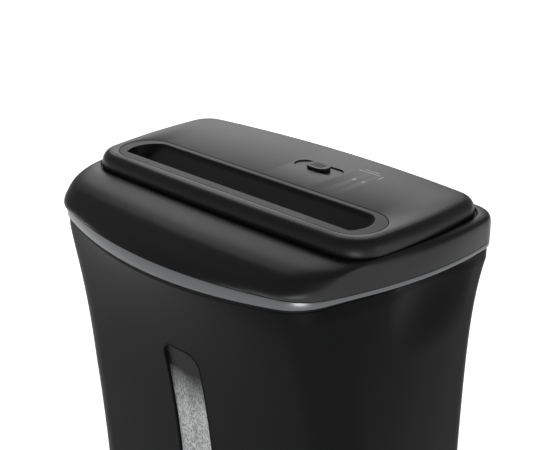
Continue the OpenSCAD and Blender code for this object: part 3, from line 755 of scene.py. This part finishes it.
def dropBorder(obj, t0, t1):  # walls down from the outer edge and down the throat
    bm = bmesh.new()
    bm.from_mesh(obj.data)
    border = [e for e in bm.edges if len(e.link_faces) == 1]
    made = bmesh.ops.extrude_edge_only(bm, edges=border)["geom"]
    slack = slot["slack"]
    for v in (g for g in made if isinstance(g, bmesh.types.BMVert)):
        x, y = v.co.x / mm, v.co.y / mm
        inner = abs(x) <= slot["half"] + slack and t0 - slack < y < t1 + slack
        v.co.z = (slot["throatLow"] if inner else slot["skirt"]) * mm
    bm.to_mesh(obj.data)
    bm.free()
    tidyMesh(obj, 38)


def makeSlot():
    t0, t1 = slot["nipY"] - slot["gap"] / 2, slot["nipY"] + slot["gap"] / 2
    xs, ys = gridLines(slot["xs"]), gridLines(slot["ys"])
    half = (cover["slotW"] - cover["slotD"]) / 2
    radius = cover["slotD"] / 2
    grid, points, faces = {}, [], []
    for i, x in enumerate(xs):
        for j, y in enumerate(ys):
            if abs(x) > half:  # the ends of the grid are drawn in to a half round
                bulge = math.sqrt(max(0.0, radius ** 2 - (y - cover["slotY"]) ** 2))
                px = math.copysign(half + bulge * (abs(x) - half) / radius, x)
            else:
                px = x
            grid[i, j] = len(points)
            points.append((px, y, slot["top"] - float(slotDepth(px, y))))
    for i in range(len(xs) - 1):
        for j in range(len(ys) - 1):
            midX, midY = (xs[i] + xs[i + 1]) / 2, (ys[j] + ys[j + 1]) / 2
            if abs(midX) < slot["half"] and t0 < midY < t1:
                continue
            faces.append((grid[i, j], grid[i + 1, j], grid[i + 1, j + 1], grid[i, j + 1]))
    obj = makeObject("slot_bezel_top", points, faces, "bezel_black")
    dropBorder(obj, t0, t1)
    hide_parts("slot_bezel")
    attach(obj, "head")


makeSlot()
print("paper slot made")


# ---------- printed marks on the deck ----------
marks = {  # each stroke: x, y, width, depth
    "strokes": [(56, 70, 20, 0.9), (56, 73.5, 14, 0.9), (70, 66, 0.9, 7)], "sunk": 0.3, "proud": 0.05,
}


def makeMarks():
    points, faces = [], []
    for x, y, w, d in marks["strokes"]:
        n = len(points)
        for z in (cover["deck"] - marks["sunk"], cover["deck"] + marks["proud"]):
            for sx, sy in ((-1, -1), (1, -1), (1, 1), (-1, 1)):
                points.append((x + sx * w / 2, y + sy * d / 2, z))
        faces += [(n, n + 3, n + 2, n + 1), (n + 4, n + 5, n + 6, n + 7)]
        faces += [(n + i, n + (i + 1) % 4, n + 4 + (i + 1) % 4, n + 4 + i) for i in range(4)]
    obj = makeObject("deck_marks", points, faces, "lever_white")
    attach(obj, "head")


makeMarks()
print("deck marks made")


# ---------- bin ----------
binForm = {  # u below is the depth under the bin's top edge
    "top": 345.5, "wall": 2.5, "lean": 48.0, "leanOver": 108, "leanFull": 347, "foot": 340,
    "halfWidth": 158.4, "frontY": -106.4, "backY": 106.4, "backR": 900, "backCorner": 18,
    "sideY": (50, 20), "sideR": (300, 800), "sideOver": 200,
    "frontR": (357, 1557), "frontCorner": (40, 35), "frontOver": 150, "shoulders": 100,
    "tuck": 7, "tuckBack": 9, "tuckFrom": 9, "tuckOver": 40, "dipOver": 80,
    "scoop": 9.0, "scoopY": 22.0, "scoopHalf": 46.0, "scoopTop": 3, "scoopFrom": 14, "scoopOver": 46,
    "lip": [(0.55, 0.0), (0.16, 0.16)],
    "outside": [0.5, 1.2, 2, 3, 4, 5.5, 7.5, 9, 11, 13, *range(16, 80, 4), *range(80, 341, 10)],
    "inside": [340, 300, 260, 200, 150, 110, 80, 60, 46, 34, 24, 16, 9, 3, 0],
    "base": [(0, 10), (0.35, 7.6), (1.2, 5.6), (2.6, 4.2), (4.6, 3.3), (7, 3.0), (9.5, 3.0)],
    "floor": [(7.5, 5.5), (3.7, 7)],
}
window = {
    "w": 39.0, "low": 74.0, "high": 265.0, "corner": 11.0,
    "rim": 0.75, "rimSunk": 0.35, "rimGrow": 1.0, "rimPitch": 5,
    "lap": 10, "lapCorner": 16, "pitch": 6, "gap": 0.1, "thick": 2.0, "endRun": 22, "cut": (-100, 0),
    "shrink": (1, 0.96, 0.9, 0.8, 0.65, 0.5, 0.35, 0.2, 0.08),
}


def settle(u, scale):
    return 1 - math.exp(-u / scale)


def hump(t):
    return clamp(1 - t * t) ** 2


def binShape(u):
    form = binForm
    front, side = clamp(u / form["frontOver"]), clamp(u / form["sideOver"])
    lean = form["lean"] * settle(u, form["leanOver"]) / settle(form["leanFull"], form["leanOver"])
    tuck = settle(max(0, u - form["tuckFrom"]), form["tuckOver"])
    return np.array([
        form["halfWidth"] - form["tuck"] * tuck, lerp(*form["sideY"], side), lerp(*form["sideR"], side),
        form["frontY"] + lean, lerp(*form["frontR"], front), lerp(*form["frontCorner"], front),
        form["backY"] - form["tuckBack"] * tuck, form["backR"], form["backCorner"],
    ])


def binHeight(u, y):  # the top edge follows the seam, and this fades out further down
    dip = binForm["top"] - seamZ(y) + seam["gap"]
    return binForm["top"] - u - dip * (1 - clamp(u / binForm["dipOver"]))


def binRing(u, t, drop=0.0):
    form = binForm
    x, y = outline(inset(binShape(u), t)).T
    along = hump((y - form["scoopY"]) / form["scoopHalf"])
    down = clamp(u / form["scoopTop"]) * hump(clamp((u - form["scoopFrom"]) / form["scoopOver"]))
    pull = np.where(np.abs(x) > form["shoulders"], form["scoop"] * along * down, 0)
    return np.column_stack([x - np.sign(x) * pull, y, binHeight(u, y) - drop])


def footRing(t, z):
    return level(inset(binShape(binForm["foot"]), t), z)


def makeBin():
    rings = [footRing(t, z) for t, z in binForm["floor"]]
    rings += [binRing(u, binForm["wall"]) for u in binForm["inside"]]
    rings += [binRing(0, t, drop) for t, drop in binForm["lip"]]
    rings += [binRing(u, 0) for u in binForm["outside"]]
    rings += [footRing(t, z) for t, z in binForm["base"]]
    obj = ringStack("bin_skin", rings, "bin_black")
    mid = (window["high"] + window["low"]) / 2
    flat = roundedFlat(window["w"], window["high"] - window["low"], window["corner"])
    cutAway(obj, [prism([(x, y + mid) for x, y in flat], *window["cut"], facing)])
    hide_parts("bin_shell")
    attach(obj, "bin")


frontWall = {"depth": 345, "steps": 140, "y": -95.0}
wallDepths = np.linspace(0, frontWall["depth"], frontWall["steps"])
wallHeights = binHeight(wallDepths, frontWall["y"])


def wallY(x, z, t):  # y of the front wall's surface at a height
    u = float(np.interp(-z, -wallHeights, wallDepths))
    shape = inset(binShape(u), t)
    return shape[3] + shape[4] - math.sqrt(shape[4] ** 2 - x * x)


def makePane():
    mid = (window["high"] + window["low"]) / 2
    height = window["high"] - window["low"]
    wide = roundedFlat(window["w"] + window["lap"], height + window["lap"], window["lapCorner"], 8)
    flat = fineLoop(wide, window["pitch"])
    core = height / 2 - window["endRun"]
    outer, inner = [], []
    for f in window["shrink"]:  # each ring is drawn in towards a line down the middle
        reach = np.abs(flat[:, 1])
        drawn = np.where(reach > core, core + (reach - core) * f, reach)
        ring = np.column_stack([flat[:, 0] * f, np.sign(flat[:, 1]) * drawn + mid])
        for side, depth in ((outer, 0), (inner, window["thick"])):
            t = binForm["wall"] + window["gap"] + depth
            side.append(np.array([(x, wallY(x, z, t), z) for x, z in ring]))
    obj = ringStack("view_pane", outer[::-1] + inner, "smoked_pane")
    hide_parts("bin_window")
    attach(obj, "bin")
    grow = window["rimGrow"]
    rim = fineLoop(roundedFlat(window["w"] + grow, height + grow, window["corner"] + grow / 2), window["rimPitch"])
    path = [(x, wallY(x, y + mid, window["rimSunk"]), y + mid) for x, y in rim]
    bead = tube("window_rim", path, window["rim"], "bin_black")
    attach(bead, "bin")


makeBin()
makePane()
print("bin and window made")
